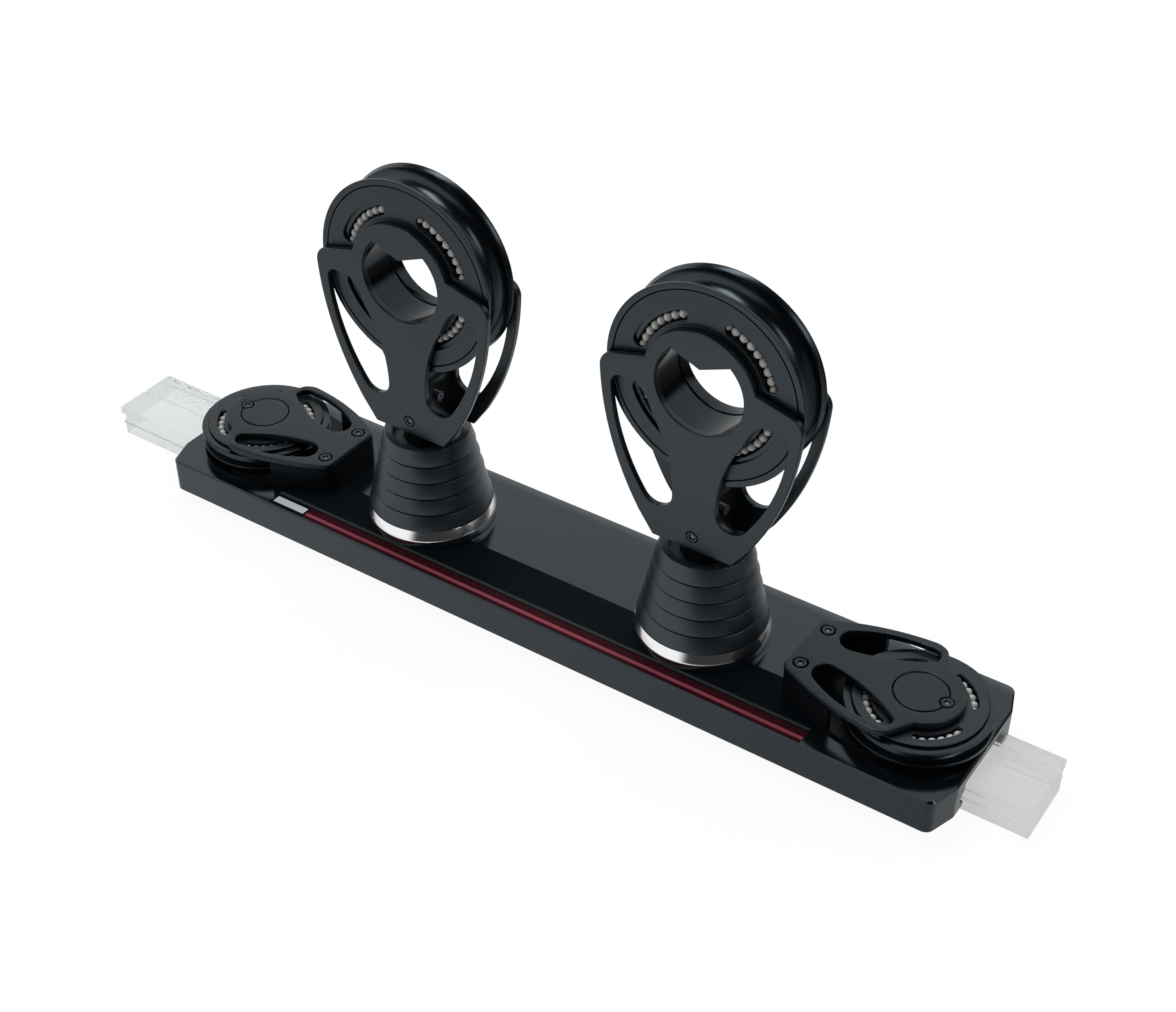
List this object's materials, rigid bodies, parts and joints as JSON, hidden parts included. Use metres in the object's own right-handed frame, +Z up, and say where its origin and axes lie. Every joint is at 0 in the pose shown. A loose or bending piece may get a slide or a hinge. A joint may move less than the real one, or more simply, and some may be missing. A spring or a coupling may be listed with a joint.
{
  "type": "traveller car",
  "caption": "Recirculating ball traveller car with stand-up blocks on sprung ribbed boots, flat control blocks at its ends and a pale plastic loader in its track channel",
  "frame": {"origin": "on the underside of the track loader, below the middle of the car body", "axes": "+X along the car and its track, +Z up, -Y towards the side with the printed stripe"},
  "size_m": [0.4165, 0.0672, 0.1638],
  "materials": {
    "black_anodised": "black anodised, glossy",
    "black_plastic": "black moulded plastic",
    "loader_plastic": "pale translucent plastic",
    "ball_plastic": "pale plastic bearing balls",
    "stainless": "polished stainless steel",
    "black_screw": "blackened screw heads",
    "boot_rubber": "black moulded rubber"
  },
  "bodies": {
    "car": {"car_body": "black_anodised", "load_balls": "ball_plastic", "ball_guides": "black_plastic", "base_screws": "stainless", "control_screws": "stainless", "control_balls": "ball_plastic", "left_swivel_base": "stainless", "left_control_base": "black_anodised", "left_control_spacer": "black_anodised", "left_control_post": "black_anodised", "left_control_bush": "black_plastic", "left_control_retainer": "black_plastic", "left_control_plate": "black_anodised", "left_control_cap": "black_anodised", "right_swivel_base": "stainless", "right_control_base": "black_anodised", "right_control_spacer": "black_anodised", "right_control_post": "black_anodised", "right_control_bush": "black_plastic", "right_control_retainer": "black_plastic", "right_control_plate": "black_anodised", "right_control_cap": "black_anodised"},
    "loader": {"track_loader": "loader_plastic"},
    "left_swivel": {"left_swivel_stud": "stainless", "left_lower_pin": "stainless"},
    "left_lean_link": {"left_toggle": "black_anodised", "left_upper_pin": "stainless", "left_boot": "boot_rubber"},
    "left_block": {"left_head_post": "black_anodised", "left_head_screw": "stainless", "left_near_cheek": "black_anodised", "left_far_cheek": "black_anodised", "left_cheek_screws": "black_screw", "left_hub_tube": "black_anodised", "left_hub_nut": "black_anodised", "left_bush": "black_plastic", "left_near_retainer": "black_plastic", "left_far_retainer": "black_plastic", "left_side_balls": "ball_plastic"},
    "left_rope_sheave": {"left_sheave": "black_anodised"},
    "left_flat_sheave": {"left_control_sheave": "black_anodised"},
    "right_swivel": {"right_swivel_stud": "stainless", "right_lower_pin": "stainless"},
    "right_lean_link": {"right_toggle": "black_anodised", "right_upper_pin": "stainless", "right_boot": "boot_rubber"},
    "right_block": {"right_head_post": "black_anodised", "right_head_screw": "stainless", "right_near_cheek": "black_anodised", "right_far_cheek": "black_anodised", "right_cheek_screws": "black_screw", "right_hub_tube": "black_anodised", "right_hub_nut": "black_anodised", "right_bush": "black_plastic", "right_near_retainer": "black_plastic", "right_far_retainer": "black_plastic", "right_side_balls": "ball_plastic"},
    "right_rope_sheave": {"right_sheave": "black_anodised"},
    "right_flat_sheave": {"right_control_sheave": "black_anodised"}
  },
  "joints": [
    {"name": "loader_slide", "type": "slide", "parent": "car", "child": "loader", "axis": [1, 0, 0], "range_m": [-0.023, 0.045]},
    {"name": "left_swivel_turn", "type": "hinge", "parent": "car", "child": "left_swivel", "pos_m": [-0.0618, 0, 0.0195], "axis": [0, 0, 1], "continuous": true},
    {"name": "left_lean_sideways", "type": "hinge", "parent": "left_swivel", "child": "left_lean_link", "pos_m": [-0.0618, 0, 0.034], "axis": [1, 0, 0], "range_deg": [-20, 20], "stiffness_Nm_per_rad": 2, "deforming": ["left_boot"]},
    {"name": "left_lean_along", "type": "hinge", "parent": "left_lean_link", "child": "left_block", "pos_m": [-0.0618, 0, 0.045], "axis": [0, 1, 0], "range_deg": [-20, 20], "stiffness_Nm_per_rad": 2},
    {"name": "left_sheave_turn", "type": "hinge", "parent": "left_block", "child": "left_rope_sheave", "pos_m": [-0.0618, 0, 0.12635], "axis": [0, 1, 0], "continuous": true},
    {"name": "left_flat_sheave_turn", "type": "hinge", "parent": "car", "child": "left_flat_sheave", "pos_m": [-0.1479, 0, 0.0233], "axis": [0, 0, 1], "continuous": true},
    {"name": "right_swivel_turn", "type": "hinge", "parent": "car", "child": "right_swivel", "pos_m": [0.0618, 0, 0.0195], "axis": [0, 0, 1], "continuous": true},
    {"name": "right_lean_sideways", "type": "hinge", "parent": "right_swivel", "child": "right_lean_link", "pos_m": [0.0618, 0, 0.034], "axis": [1, 0, 0], "range_deg": [-20, 20], "stiffness_Nm_per_rad": 2, "deforming": ["right_boot"]},
    {"name": "right_lean_along", "type": "hinge", "parent": "right_lean_link", "child": "right_block", "pos_m": [0.0618, 0, 0.045], "axis": [0, 1, 0], "range_deg": [-20, 20], "stiffness_Nm_per_rad": 2},
    {"name": "right_sheave_turn", "type": "hinge", "parent": "right_block", "child": "right_rope_sheave", "pos_m": [0.0618, 0, 0.12635], "axis": [0, 1, 0], "continuous": true},
    {"name": "right_flat_sheave_turn", "type": "hinge", "parent": "car", "child": "right_flat_sheave", "pos_m": [0.1479, 0, 0.0233], "axis": [0, 0, 1], "continuous": true}
  ]
}
